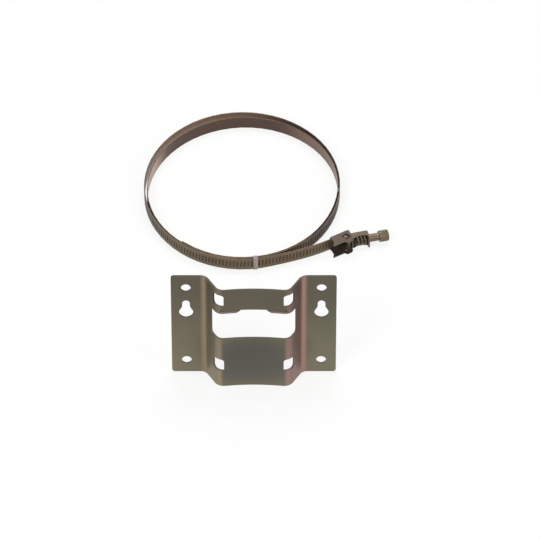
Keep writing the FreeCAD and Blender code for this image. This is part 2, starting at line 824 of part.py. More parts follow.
def make_swivel_carrier():
    """Folded stirrup: two side walls with eyes, and a rear and an end wall for the screw."""
    body = new_body("swivel_carrier")
    eye = size("trunnion_diameter") / 2.0 + size("carrier_eye_wall")
    back = band_near_y - size("carrier_back_gap")
    tongue_start = carrier_rear_face + size("carrier_tongue_inset")
    tongue_end = carrier_end_face - size("carrier_tongue_inset")
    tongue = -size("carrier_tongue_depth")
    shoulder = -size("carrier_shoulder_depth")
    foot = -size("carrier_foot_depth")
    corners = [
        point(-eye, back - size("carrier_back_bevel")),
        point(-eye, -eye),
        point(eye, -eye),
        point(tongue_start - size("carrier_tongue_run"), shoulder),
        point(tongue_start, tongue),
        point(tongue_end, tongue),
        point(carrier_end_face, shoulder),
        point(carrier_end_face, foot),
        point(carrier_length, foot),
        point(carrier_length, back),
        point(0.0, back),
    ]
    outline = new_sketch(body, "carrier_outline", "XY_Plane", carrier_low)
    round_eye = size("carrier_eye_radius")
    small = size("carrier_corner_radius")
    tip = size("carrier_foot_radius")
    radii = [round_eye, round_eye, small, small, small, small, small, 0.0, tip, small, small]
    draw_rounded(outline, corners, radii)
    block = body.newObject("PartDesign::Pad", "carrier_block")
    block.Profile = outline
    block.Length = carrier_height
    doc.recompute()

    # The space between the side walls, in front of and behind the rear wall
    low = carrier_low + size("carrier_sheet")
    high = carrier_low + carrier_height - size("carrier_sheet")
    inside = new_sketch(body, "screw_space", "XZ_Plane")
    for start, end in ((-2.0 * eye, size("carrier_rear_x")), (carrier_rear_face, carrier_end_face)):
        corners = [point(start, low), point(end, low), point(end, high), point(start, high)]
        draw_rounded(inside, corners, [0.0] * 4)
    cut_through(body, inside, "screw_space_cut")

    # One bore for the screw's tip, one for its shank
    mid = clamp_height / 2.0
    bores = (("tip_bore", "tip_diameter", False), ("shank_bore", "shank_diameter", True))
    for name, alias, far_wall in bores:
        near = worm_end if far_wall else 0.0
        bore = new_sketch(body, name, "YZ_Plane", near)
        radius = size(alias) / 2.0 + size("journal_clearance")
        bore.addGeometry(Part.Circle(point(0.0, mid), Vector(0, 0, 1), radius), False)
        volume = body.Tip.Shape.Volume
        cut = body.newObject("PartDesign::Pocket", name + "_cut")
        cut.Profile = bore
        cut.Reversed = True
        cut.Length = carrier_length
        if not far_wall:
            cut.Length = carrier_rear_face + size("worm_end_clearance")
        doc.recompute()
        if cut.Shape.Volume >= volume:
            raise ValueError("%s removes nothing" % name)

    # Trunnions reach through the cheeks of the saddle
    stubs = new_sketch(body, "trunnions", "XY_Plane")
    draw_circle(stubs, point(0.0, 0.0), "trunnion_diameter")
    lower = body.newObject("PartDesign::Pad", "lower_trunnion")
    lower.Profile = stubs
    lower.Length = carrier_low + size("carrier_sheet") / 2.0
    top = new_sketch(body, "upper_trunnion_circle", "XY_Plane", clamp_height)
    draw_circle(top, point(0.0, 0.0), "trunnion_diameter")
    upper = body.newObject("PartDesign::Pad", "upper_trunnion")
    upper.Profile = top
    upper.Reversed = True
    upper.Length = carrier_low + size("carrier_sheet") / 2.0
    body.Placement = carrier_frame
    return body


def make_worm_screw():
    """Worm, shank, collar and slotted hexagon head about the screw's own axis."""
    body = new_body("worm_screw")
    tip = size("tip_diameter") / 2.0
    root = size("worm_root_diameter") / 2.0
    crest = size("worm_diameter") / 2.0
    bevel_run = size("thread_crest")
    shank = size("shank_diameter") / 2.0
    collar = size("collar_diameter") / 2.0
    collar_start = carrier_length + size("shank_length")
    head_start = collar_start + size("collar_length")
    head_end = head_start + size("head_length")
    head_half = size("head_across_flats") / 2.0

    # Turned blank, drawn beside the axis: radius across, distance along the screw up.
    section = new_sketch(body, "turned_section", "XZ_Plane")
    tip_start = size("carrier_rear_x") - size("tip_overlap")
    core = 0.9 * head_half
    corners = [
        point(0.0, tip_start),
        point(tip, tip_start),
        point(tip, worm_start),
        point(root, worm_start),
        point(crest, worm_start + bevel_run),
        point(crest, worm_end - bevel_run),
        point(root, worm_end),
        point(shank, worm_end),
        point(shank, collar_start),
        point(collar, collar_start),
        point(collar, head_start),
        point(core, head_start),
        point(core, head_end),
        point(0.0, head_end),
    ]
    draw_rounded(section, corners, [0.0] * len(corners))
    blank = body.newObject("PartDesign::Revolution", "turned_blank")
    blank.Profile = section
    blank.ReferenceAxis = (section, ["V_Axis"])
    blank.Angle = 360.0
    doc.recompute()

    hexagon = new_sketch(body, "hexagon", "XY_Plane", head_start)
    reach = head_half / math.cos(math.pi / 6.0)
    corners = [polar(point(0.0, 0.0), reach, math.pi / 3.0 * i) for i in range(6)]
    draw_rounded(hexagon, corners, [0.0] * 6)
    head = pad(body, hexagon, "hexagon_head", "sizes.head_length")
    doc.recompute()

    # The ends of the hexagon are turned off at a shallow angle.
    bevel = new_sketch(body, "head_bevel", "XZ_Plane")
    depth = size("head_bevel_depth")
    inner = reach - size("head_bevel_run")
    outer = inner + 3.0 * size("head_bevel_run")
    steps = [
        point(outer, head_end),
        point(outer, head_end - depth),
        point(inner, head_end),
    ]
    draw_loop(bevel, steps[-1], steps)
    groove = body.newObject("PartDesign::Groove", "head_bevel_cut")
    groove.Profile = bevel
    groove.ReferenceAxis = (bevel, ["V_Axis"])
    groove.Angle = 360.0
    doc.recompute()

    slot = new_sketch(body, "driver_slot", "YZ_Plane")
    half = size("driver_slot_width") / 2.0
    low = head_end - size("driver_slot_depth")
    high = head_end + size("driver_slot_depth")
    corners = [point(-half, low), point(half, low), point(half, high), point(-half, high)]
    draw_rounded(slot, corners, [0.0] * 4)
    cut_through(body, slot, "driver_slot_cut")

    lift = Placement(Vector(0, 0, clamp_height / 2.0), Rotation(Vector(0, 1, 0), 90.0))
    body.Placement = carrier_frame.multiply(lift)
    return body


pieces = [
    make_wall_plate(),
    make_strap_band(),
    make_coil_tie(),
    make_clamp_saddle(),
    make_swivel_carrier(),
    make_worm_screw(),
]
doc.recompute()

for item in doc.Objects:
    if "Invalid" in item.State or "Error" in item.State:
        raise ValueError("%s failed: %s" % (item.Label, item.State))
for piece in pieces:
    if piece.Shape.isNull() or not piece.Shape.isValid():
        raise ValueError("%s has no valid shape" % piece.Label)

os.makedirs("parts", exist_ok=True)
for piece in pieces:
    piece.Shape.exportStep("parts/%s.step" % piece.Label)
    print("%s: %d solid, %.0f mm3" % (piece.Label, len(piece.Shape.Solids), piece.Shape.Volume))
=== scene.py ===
# %% [markdown]
# A wall bracket for a round expansion vessel: a pressed steel plate stands in front, and
# the racked strap that holds the vessel lies behind it as a coil, with its worm clamp.
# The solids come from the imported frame. This lesson gives them worked edges, a real screw
# thread and a passivated zinc finish, then sets up the camera, the floor and the light.

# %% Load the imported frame
import json
import math

import bpy
from mathutils import Matrix, Vector


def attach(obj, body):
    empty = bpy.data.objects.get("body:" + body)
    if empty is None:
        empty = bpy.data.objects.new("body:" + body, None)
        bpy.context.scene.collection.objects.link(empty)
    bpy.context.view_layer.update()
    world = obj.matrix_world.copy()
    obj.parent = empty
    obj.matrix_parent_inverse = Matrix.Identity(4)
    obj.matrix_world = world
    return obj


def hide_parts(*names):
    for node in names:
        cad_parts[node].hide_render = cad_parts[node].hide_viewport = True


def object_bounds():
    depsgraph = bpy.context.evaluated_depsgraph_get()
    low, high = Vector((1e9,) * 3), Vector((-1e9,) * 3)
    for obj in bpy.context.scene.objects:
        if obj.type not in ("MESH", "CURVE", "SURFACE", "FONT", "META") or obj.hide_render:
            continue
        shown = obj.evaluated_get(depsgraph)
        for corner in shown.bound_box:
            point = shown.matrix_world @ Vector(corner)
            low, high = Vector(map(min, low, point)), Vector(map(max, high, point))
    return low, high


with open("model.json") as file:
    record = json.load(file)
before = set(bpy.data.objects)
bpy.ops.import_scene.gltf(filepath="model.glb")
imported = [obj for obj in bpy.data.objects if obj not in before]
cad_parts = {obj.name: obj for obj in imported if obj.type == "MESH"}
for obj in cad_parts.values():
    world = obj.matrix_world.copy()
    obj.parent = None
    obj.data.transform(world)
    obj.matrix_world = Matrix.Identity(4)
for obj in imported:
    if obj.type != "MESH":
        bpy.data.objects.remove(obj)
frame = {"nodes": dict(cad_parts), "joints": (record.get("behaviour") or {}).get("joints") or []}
cad_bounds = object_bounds()
scene = bpy.context.scene
MM = 0.001
print("solids:", sorted(frame["nodes"]))

# %% [markdown]
# Operators act on whatever is selected, and a fresh import leaves every node selected.
# Two small helpers choose one object at a time, so each step touches only its own piece.


# %% Choose one object, and apply a modifier to it
def choose(piece):
    bpy.ops.object.select_all(action="DESELECT")
    piece.select_set(True)
    bpy.context.view_layer.objects.active = piece


def apply_modifier(piece, kind, **settings):
    choose(piece)
    modifier = piece.modifiers.new(kind.lower(), kind)
    for key, value in settings.items():
        setattr(modifier, key, value)
    bpy.ops.object.modifier_apply(modifier=modifier.name)


# %% [markdown]
# Punched and folded steel never has a knife-sharp edge: the punch pulls it over by a few
# tenths of a millimetre, and that small round is what catches the light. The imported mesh
# is loose triangles, so a copy is merged and its flat faces are cleaned up first. Then a
# bevel rounds the sharp edges only, and the bends stay as they are. Weighted normals keep
# the flat faces flat, so that the shading changes on the bends and the rounds alone.

# %% Copy a solid and round its punched edges
MERGE_DISTANCE = 0.002 * MM
COPLANAR_ANGLE = math.radians(0.5)
PUNCHED_EDGE_ANGLE = math.radians(40)
SMOOTH_ANGLE = math.radians(32)


def worked_copy(node, name, body, round_width, segments=2, flat_faces=True):
    """Makes the piece that shows in a solid's place, and has it move with its body."""
    source = frame["nodes"][node]
    piece = bpy.data.objects.new(name, source.data.copy())
    scene.collection.objects.link(piece)
    piece.data.materials.clear()
    choose(piece)
    bpy.ops.object.mode_set(mode="EDIT")
    bpy.ops.mesh.select_all(action="SELECT")
    bpy.ops.mesh.remove_doubles(threshold=MERGE_DISTANCE)
    bpy.ops.mesh.dissolve_limited(angle_limit=COPLANAR_ANGLE)
    bpy.ops.object.mode_set(mode="OBJECT")
    apply_modifier(
        piece,
        "BEVEL",
        width=round_width,
        segments=segments,
        limit_method="ANGLE",
        angle_limit=PUNCHED_EDGE_ANGLE,
        use_clamp_overlap=True,
    )
    choose(piece)
    bpy.ops.object.shade_smooth_by_angle(angle=SMOOTH_ANGLE)
    if flat_faces:
        apply_modifier(piece, "WEIGHTED_NORMAL", keep_sharp=True)
    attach(piece, body)
    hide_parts(node)
    print(name, len(piece.data.polygons), "faces")
    return piece


# %% [markdown]
# The plate is one pressed sheet, and its holes and bends are all in the solid.

# %% The wall plate
PLATE_ROUND = 0.35 * MM
plate = worked_copy("wall_plate", "wall_plate_pressed", "root", PLATE_ROUND)

# %% [markdown]
# The strap is a thin band with hundreds of grooves pressed into it, so one small chamfer
# on each edge keeps its mesh light. Its normals are smoothed but not weighted, because
# the light has to run over its flat facets as over one curve. The tie is a thin plastic
# strip round the turns of the coil.

# %% The strap and its tie
STRAP_CHAMFER = 0.12 * MM
TIE_ROUND = 0.15 * MM
strap = worked_copy(
    "strap_band", "strap_band_racked", "root", STRAP_CHAMFER, segments=1, flat_faces=False
)
tie = worked_copy("coil_tie", "coil_tie_strip", "root", TIE_ROUND)

# %% [markdown]
# The clamp is folded from two strips. The saddle sits on the fixed end of the strap, and
# the carrier swings in it on two trunnions, so it rides on a body of its own.

# %% The folded pieces of the clamp
SADDLE_ROUND = 0.18 * MM
CARRIER_ROUND = 0.15 * MM
saddle = worked_copy("clamp_saddle", "clamp_saddle_folded", "root", SADDLE_ROUND)
carrier = worked_copy("swivel_carrier", "swivel_carrier_folded", "carrier", CARRIER_ROUND)

# %% [markdown]
# The screw is turned from one bar. Its head, collar and shank are right in the solid, but
# the worm there is a plain cylinder. A real thread is one profile that climbs one pitch
# per turn, and the Screw modifier does just that. So the solid is cut off at the shank,
# and a threaded worm takes the place of the plain one. Lengths along the screw start at
# the place of its joint and run from the tip towards the head.

# %% The screw's own axis, and its sizes along it
turn_joint = [joint for joint in frame["joints"] if joint["name"] == "screw_turn"][0]
screw_origin = Vector(turn_joint["pos_m"])
screw_axis = Vector(turn_joint["axis"]).normalized()
WORM_START = 7.5 * MM
WORM_LENGTH = 13.2 * MM
WORM_END = WORM_START + WORM_LENGTH
WORM_ROOT = 3.9 * MM
WORM_CREST = 5.3 * MM
WORM_PITCH = 3.4 * MM
print("screw axis:", [round(value, 3) for value in screw_axis])

# %% Head and shank: the solid, cut off where the worm ends
SCREW_ROUND = 0.18 * MM
SHANK_OVERLAP = 0.05 * MM


def keep_beyond(piece, origin, normal):
    """Cuts a piece by a plane, keeps the side that the normal points to, and closes it."""
    choose(piece)
    bpy.ops.object.mode_set(mode="EDIT")
    bpy.ops.mesh.select_all(action="SELECT")
    bpy.ops.mesh.bisect(
        plane_co=origin, plane_no=normal, use_fill=True, clear_inner=True, clear_outer=False
    )
    bpy.ops.object.mode_set(mode="OBJECT")


screw = worked_copy("worm_screw", "worm_screw_turned", "screw", SCREW_ROUND)
keep_beyond(screw, screw_origin + screw_axis * (WORM_END - SHANK_OVERLAP), screw_axis)
print("head and shank:", len(screw.data.polygons), "faces")

# %% [markdown]
# Over one pitch a thread's outline is half a floor, a flank up, a crest, a flank down and
# the other half of the floor. It is drawn here as by hand: a tiny plane is merged into
# one point, and the point is extruded step by step. Only six points carry the thread.

# %% One pitch of the thread in outline
THREAD_CREST_HALF = 0.42 * MM
THREAD_FOOT_HALF = 0.95 * MM


def thread_profile(name):
    """The outline stands upright at the root's radius, where the worm starts."""
    rise = WORM_CREST - WORM_ROOT
    half_floor = WORM_PITCH / 2.0 - THREAD_FOOT_HALF
    flank = THREAD_FOOT_HALF - THREAD_CREST_HALF
    bpy.ops.object.select_all(action="DESELECT")
    bpy.ops.mesh.primitive_plane_add(size=MM, location=(WORM_ROOT, 0.0, WORM_START))
    profile = bpy.context.active_object
    profile.name = name
    bpy.ops.object.transform_apply(location=True, rotation=True, scale=True)
    bpy.ops.object.mode_set(mode="EDIT")
    bpy.ops.mesh.select_all(action="SELECT")
    bpy.ops.mesh.merge(type="CENTER")
    for outwards, along in (
        (0.0, half_floor),
        (rise, flank),
        (0.0, 2.0 * THREAD_CREST_HALF),
        (-rise, flank),
        (0.0, half_floor),
    ):
        bpy.ops.mesh.extrude_vertices_move(
            TRANSFORM_OT_translate={"value": (outwards, 0.0, along)}
        )
    bpy.ops.object.mode_set(mode="OBJECT")
    return profile


worm = thread_profile("worm_thread")
print("thread outline:", len(worm.data.vertices), "points")

# %% [markdown]
# Wound round the axis while it climbs, the outline sweeps out the whole thread. It is a
# pitch long itself, so the climb is one pitch less than the worm, and its upper end then
# stops right at the end of the worm, with nothing to cut off.

# %% Wind the outline into the thread
THREAD_STEPS = 140
THREAD_MERGE = 0.005 * MM
climb = WORM_LENGTH - WORM_PITCH
apply_modifier(
    worm,
    "SCREW",
    axis="Z",
    angle=math.tau * climb / WORM_PITCH,
    screw_offset=climb,
    iterations=1,
    steps=THREAD_STEPS,
    render_steps=THREAD_STEPS,
    use_merge_vertices=True,
    merge_threshold=THREAD_MERGE,
)
print("thread:", len(worm.data.polygons), "faces")

# %% [markdown]
# The wound outline is only a skin. A core that is a hair thicker than the thread's root
# fills it, and a thin journal at the tip runs in the carrier's wall. Both are cylinders
# with the small chamfer that a lathe leaves at their ends.

# %% The core inside the thread, and the journal at its tip
CORE_OVERLAP = 0.02 * MM
TIP_OVERLAP = 0.1 * MM
TIP_START = 5.6 * MM
TIP_RADIUS = 2.2 * MM
TURNED_CHAMFER = 0.3 * MM
TURNED_EDGE_ANGLE = math.radians(60)


def turned_bar(name, radius, start, end, vertices):
    bpy.ops.object.select_all(action="DESELECT")
    bpy.ops.mesh.primitive_cylinder_add(
        vertices=vertices, radius=radius, depth=end - start, location=(0, 0, (start + end) / 2)
    )
    piece = bpy.context.active_object
    piece.name = name
    bpy.ops.object.transform_apply(location=True, rotation=True, scale=True)
    apply_modifier(
        piece,
        "BEVEL",
        width=TURNED_CHAMFER,
        segments=2,
        limit_method="ANGLE",
        angle_limit=TURNED_EDGE_ANGLE,
    )
    return piece


shaft = turned_bar("worm_core", WORM_ROOT + CORE_OVERLAP, WORM_START, WORM_END, 48)
tip = turned_bar("worm_tip", TIP_RADIUS, TIP_START, WORM_START + TIP_OVERLAP, 32)
print("core and tip:", len(shaft.data.polygons), len(tip.data.polygons), "faces")

# %% [markdown]
# The worm was made upright on the world's own axis, where its sizes are easy to give. Its
# mesh now moves to the screw's axis, and everything is joined to the head, so that the
# screw is one piece and turns as one.

# %% Bring the worm to the screw's axis and join it all
upright_to_axis = Vector((0, 0, 1)).rotation_difference(screw_axis)
screw_place = Matrix.Translation(screw_origin) @ upright_to_axis.to_matrix().to_4x4()
for part in (worm, shaft, tip):
    part.data.transform(screw_place)
bpy.ops.object.select_all(action="DESELECT")
for part in (worm, shaft, tip, screw):
    part.select_set(True)
bpy.context.view_layer.objects.active = screw
bpy.ops.object.join()
screw = bpy.context.active_object
bpy.ops.object.shade_smooth_by_angle(angle=SMOOTH_ANGLE)
print("screw", len(screw.data.polygons), "faces")

# %% [markdown]
# Passivated zinc is not one colour: the steel turns from taupe to olive and a cold grey, its cut
# edges are dark, and the rolled sheet shows a fine grain through it. The pink and gold on the
# bends and the violet and olive on the webs are painted highlights and painted reflections, and
# some painted shade is laid on too. A texture image could hold all that, but nodes stay sharp at
# any distance. Everything reads Object coordinates, so the pattern stays on the piece when the
# joints move.


# %% Small nodes that measure, fade and add up
class ShaderNodes:
    """One material's nodes. A call adds a node, links it up and returns what it gives."""

    def __init__(self, name, metallic, roughness):
        self.material = bpy.data.materials.new(name)
        self.material.use_nodes = True
        self.nodes = self.material.node_tree.nodes
        self.links = self.material.node_tree.links
        self.shader = self.nodes["Principled BSDF"]
        self.shader.inputs["Metallic"].default_value = metallic
        self.shader.inputs["Roughness"].default_value = roughness
        self.roughness = roughness
        coordinates = self.nodes.new("ShaderNodeTexCoord")
        self.place = coordinates.outputs["Object"]
        self.facing = coordinates.outputs["Normal"]

    def noise(self, stretch, scale, detail=3.0, roughness=0.55):
        mapping = self.nodes.new("ShaderNodeMapping")
        mapping.inputs["Scale"].default_value = stretch
        texture = self.nodes.new("ShaderNodeTexNoise")
        texture.inputs["Scale"].default_value = scale
        texture.inputs["Detail"].default_value = detail
        texture.inputs["Roughness"].default_value = roughness
        self.links.new(self.place, mapping.inputs["Vector"])
        self.links.new(mapping.outputs["Vector"], texture.inputs["Vector"])
        return texture.outputs["Fac"]

    def ramp(self, value, low, high, start=0.0, end=1.0):
        """Goes smoothly from start to end while the value goes from low to high."""
        node = self.nodes.new("ShaderNodeMapRange")
        node.interpolation_type = "SMOOTHSTEP"
        node.inputs["From Min"].default_value = low
        node.inputs["From Max"].default_value = high
        node.inputs["To Min"].default_value = start
        node.inputs["To Max"].default_value = end
        self.links.new(value, node.inputs["Value"])
        return node.outputs["Result"]

    def math(self, operation, first, second=None):
        node = self.nodes.new("ShaderNodeMath")
        node.operation = operation
        for socket, value in zip(node.inputs, (first, second)):
            if isinstance(value, (int, float)):
                socket.default_value = value
            elif value is not None:
                self.links.new(value, socket)
        return node.outputs["Value"]

    def product(self, result, *factors):
        for factor in factors:
            result = self.math("MULTIPLY", result, factor)
        return result

    def axis(self, vector, letter):
        node = self.nodes.new("ShaderNodeSeparateXYZ")
        self.links.new(vector, node.inputs["Vector"])
        return node.outputs[letter]

    def vector(self, operation, first, second=None, output="Vector"):
        """A vector operation on one socket, or on a socket and a constant or a socket."""
        node = self.nodes.new("ShaderNodeVectorMath")
        node.operation = operation
        self.links.new(first, node.inputs[0])
        if isinstance(second, tuple):
            node.inputs[1].default_value = second
        elif second is not None:
            self.links.new(second, node.inputs[1])
        return node.outputs[output]


# %% [markdown]
# The plating is built up as a painter glazes: a ground colour, a slow cloud of a second
# tint, local tints where the piece needs them, and the grain of the rolled steel last.
# The same grain also moves the roughness and a little height, so that it shows in the
# gloss as well as in the colour.

# %% Tints laid over each other
CLOUD_EDGES = (0.35, 0.65)
GRAIN_GREY = (0.5, 0.5, 0.5)
GRAIN_EDGES = (0.3, 0.75)
ROUGH_EDGES = (0.3, 0.7)
ROUGH_SWING = 0.05
BUMP_STRENGTH = 0.35


class Layers(ShaderNodes):
    """A material whose colour is built up in layers, each mixed over the last."""

    colour = None

    def tint(self, colour, factor=None, blend="MIX"):
        """The first tint is the ground, and each later one covers as the factor says."""
        if self.colour is None:
            node = self.nodes.new("ShaderNodeRGB")
            node.outputs[0].default_value = (*colour, 1.0)
            self.colour = node.outputs[0]
            return
        node = self.nodes.new("ShaderNodeMix")
        node.data_type = "RGBA"
        node.blend_type = blend
        self.links.new(self.colour, node.inputs["A"])
        node.inputs["B"].default_value = (*colour, 1.0)
        self.links.new(factor, node.inputs["Factor"])
        self.colour = node.outputs["Result"]

    def cloud(self, colour, stretch, scale):
        cloud = self.noise(stretch, scale)
        self.tint(colour, self.ramp(cloud, *CLOUD_EDGES))
        return cloud

    def grain(self, stretch, scale, strength):
        grain = self.noise(stretch, scale, detail=2.0)
        fade = self.ramp(grain, *GRAIN_EDGES, 0.0, strength)
        self.tint(GRAIN_GREY, fade, blend="OVERLAY")
        return grain

    def finish(self, texture, bump_depth):
        """Sends the colour to the shader, and lets a texture move roughness and height."""
        self.links.new(self.colour, self.shader.inputs["Base Color"])
        smoothest = self.roughness - ROUGH_SWING
        roughest = self.roughness + ROUGH_SWING
        rough = self.ramp(texture, *ROUGH_EDGES, smoothest, roughest)
        self.links.new(rough, self.shader.inputs["Roughness"])
        bump = self.nodes.new("ShaderNodeBump")
        bump.inputs["Strength"].default_value = BUMP_STRENGTH
        bump.inputs["Distance"].default_value = bump_depth
        self.links.new(texture, bump.inputs["Height"])
        self.links.new(bump.outputs["Normal"], self.shader.inputs["Normal"])
        return self.material


# %% [markdown]
# On the plate the tints follow its shape. The violet brown on the right web and the olive on the
# left one are painted reflections, and the bright bends on both sides of each web are painted
# highlights. Every tint like that is a band that runs up the plate, so one helper fades each of
# them out by its distance from a line.

# %% Bands of colour up the plate
VIOLET_BROWN_REFLECTION = (0.262, 0.155, 0.136)
OLIVE_REFLECTION = (0.240, 0.198, 0.124)
PALE_PINK_HIGHLIGHT = (0.340, 0.222, 0.182)
PALE_GOLD_HIGHLIGHT = (0.345, 0.262, 0.180)
BRIGHT_PINK_HIGHLIGHT = (0.380, 0.217, 0.180)
BRIGHT_GOLD_HIGHLIGHT = (0.290, 0.220, 0.134)
# Middle across the plate, reach to each side, colour and strength
WEB_PAINTED_REFLECTIONS = (
    (37.5 * MM, 11.5 * MM, VIOLET_BROWN_REFLECTION, 0.95),
    (-37.5 * MM, 11.5 * MM, OLIVE_REFLECTION, 0.85),
)
CRADLE_BEND_HIGHLIGHTS = (
    (31.3 * MM, 4.37 * MM, PALE_PINK_HIGHLIGHT, 0.80),
    (-31.6 * MM, 4.37 * MM, PALE_GOLD_HIGHLIGHT, 0.80),
)
FLANGE_BEND_HIGHLIGHTS = (
    (45.0 * MM, 4.60 * MM, BRIGHT_PINK_HIGHLIGHT, 0.90),
    (-45.0 * MM, 4.83 * MM, BRIGHT_GOLD_HIGHLIGHT, 0.86),
)


def tint_bands(layers, across, bands):
    """A band is full at its middle and fades out smoothly to both sides."""
    for middle, reach, colour, strength in bands:
        away = layers.math("ABSOLUTE", layers.math("SUBTRACT", across, middle))
        fade = layers.ramp(away, 0.0, reach, 1.0, 0.0)
        layers.tint(colour, layers.product(fade, strength))


print("bands:", len(WEB_PAINTED_REFLECTIONS + CRADLE_BEND_HIGHLIGHTS + FLANGE_BEND_HIGHLIGHTS))

# %% [markdown]
# Two tints have other shapes. A cold grey patch spreads over the lower face as an oval, and the
# lips under the bar, which are bent back to face down, get a coppery painted shade up to the
# line where they are bent.

# %% The cold patch and the coppery lips
COLD_GREY = (0.088, 0.090, 0.077)
COPPER_SHADE = (0.200, 0.112, 0.082)
PATCH_MIDDLE_Z = -29 * MM
PATCH_HALF_WIDTH = 50 * MM
PATCH_HALF_HEIGHT = 32 * MM
PATCH_RIM = 1.5
LIP_SIDE = 30.2 * MM
LIP_LOWEST = 12 * MM
LIP_BEND = (32.4 * MM, 35.0 * MM)


def tint_cold_patch(layers, across, up):
    side = layers.math("POWER", layers.math("DIVIDE", across, PATCH_HALF_WIDTH), 2.0)
    above = layers.math("SUBTRACT", up, PATCH_MIDDLE_Z)
    height = layers.math("POWER", layers.math("DIVIDE", above, PATCH_HALF_HEIGHT), 2.0)
    patch = layers.ramp(layers.math("ADD", side, height), 0.0, PATCH_RIM, 1.0, 0.0)
    layers.tint(COLD_GREY, layers.product(patch, 0.82))


def paint_lip_shade(layers, across, up):
    lips = layers.product(
        layers.math("LESS_THAN", layers.math("ABSOLUTE", across), LIP_SIDE),
        layers.math("GREATER_THAN", up, LIP_LOWEST),
        layers.ramp(up, *LIP_BEND, 1.0, 0.0),
    )
    layers.tint(COPPER_SHADE, layers.product(lips, 0.9))


# %% [markdown]
# Now the plate's layers come together in their order. The plate is made darker towards the top,
# but the painted highlights on the bends at the flanges stay bright all the way up, so they are
# laid on after that darkening. The cut edges follow: they face sideways or up and down, never
# towards the room, so the normal tells them. The grain goes over everything.

# %% The plate's finish
METALLIC = 0.72
TAUPE = (0.212, 0.181, 0.126)
OLIVE_TAUPE = (0.186, 0.171, 0.117)
TOP_SHADE = (0.56, 0.56, 0.56)
CUT_STEEL = (0.045, 0.038, 0.030)
SHADED_HEIGHT = (-57 * MM, 57 * MM)
UP_THE_PLATE = (1.0, 1.0, 0.035)


def plate_finish():
    layers = Layers("plate_passivated", METALLIC, 0.42)
    across = layers.axis(layers.place, "X")
    up = layers.axis(layers.place, "Z")
    layers.tint(TAUPE)
    layers.cloud(OLIVE_TAUPE, (1.0, 1.0, 0.6), 22.0)
    tint_cold_patch(layers, across, up)
    # Painted reflections on the webs, and painted highlights on the bends next to the cradle.
    tint_bands(layers, across, WEB_PAINTED_REFLECTIONS)
    tint_bands(layers, across, CRADLE_BEND_HIGHLIGHTS)
    # Painted shade on the lips, which face down.
    paint_lip_shade(layers, across, up)
    # Darker towards the top.
    layers.tint(TOP_SHADE, layers.ramp(up, *SHADED_HEIGHT), blend="MULTIPLY")
    # Painted highlights on the bends at the flanges.
    tint_bands(layers, across, FLANGE_BEND_HIGHLIGHTS)
    towards_room = layers.math("ABSOLUTE", layers.axis(layers.facing, "Y"))
    layers.tint(CUT_STEEL, layers.ramp(towards_room, 0.25, 0.5, 0.75, 0.0))
    grain = layers.grain(UP_THE_PLATE, 2600.0, 0.16)
    return layers.finish(grain, 0.02 * MM)


plate.data.materials.append(plate_finish())
print("plate:", len(plate.data.materials[0].node_tree.nodes), "nodes")

# %% [markdown]
# The strap and the clamp have the same plating over narrower strip, a little browner, and
# the screw is yellower. One function with other tints serves them all, and a piece that
# needs more hands in a helper that shades it before the grain goes on.

# %% The finish of strip, and of what is made from it
ALONG_STRAP = (1.0, 1.0, 3.0)
EVEN = (1.0, 1.0, 1.0)


def strip_finish(
    name, base, cloud_tint, roughness, cloud_scale, grain_stretch=ALONG_STRAP, shade=None
):
    layers = Layers(name, METALLIC, roughness)
    layers.tint(base)
    layers.cloud(cloud_tint, EVEN, cloud_scale)
    if shade:
        shade(layers)
    grain = layers.grain(grain_stretch, 2200.0, 0.14)
    return layers.finish(grain, 0.015 * MM)


# %% [markdown]
# A coiled strap mirrors itself: turns that face each other get darker and redder, and so do both
# sides of the coil. Only the inner face of the outermost turn stays bright, and less so at the
# right. Reflections alone came out lighter than in the photograph, so the shade is laid on as
# painted shade, and the bright inner face of the outermost turn as painted light. It needs two
# measures of a place on the coil: how far out it lies, and whether its face looks inwards.

# %% How far out on the coil, and whether a face looks inwards
COIL_MIDDLE = (-11.9 * MM, 251 * MM, 0.0)
COIL_HALF = (94.6 * MM, 112 * MM, 1.0)
IN_PLAN = (1.0, 1.0, 0.0)
BACK_IN_PLAN = (-1.0, -1.0, 0.0)


def oval_radius(layers):
    """Distance in plan from the coil's middle, as a share of its half width and depth."""
    arm = layers.vector("SUBTRACT", layers.place, COIL_MIDDLE)
    arm = layers.vector("MULTIPLY", arm, IN_PLAN)
    arm = layers.vector("DIVIDE", arm, COIL_HALF)
    return layers.vector("LENGTH", arm, output="Value")


def facing_inwards(layers):
    """One on faces that look towards the coil's middle, zero on those that look away."""
    arm = layers.vector("SUBTRACT", layers.place, COIL_MIDDLE)
    arm = layers.vector("MULTIPLY", arm, BACK_IN_PLAN)
    arm = layers.vector("NORMALIZE", arm)
    towards = layers.vector("DOT_PRODUCT", arm, layers.facing, "Value")
    return layers.ramp(towards, 0.2, 0.7)


# %% The strap's finish
LEFT_SHADE = (0.060, 0.040, 0.030)
RIGHT_SHADE = (0.052, 0.027, 0.020)
INNER_SHADE = (0.090, 0.057, 0.044)
OUTERMOST_PAINTED_LIGHT = (0.420, 0.285, 0.215)
LEFT_SIDE = (-103 * MM, -80 * MM)
RIGHT_SIDE = (20 * MM, 60 * MM)
BEHIND_CLAMP = (160 * MM, 180 * MM)
PAINTED_LIGHT_SIDE = (-20 * MM, 50 * MM)


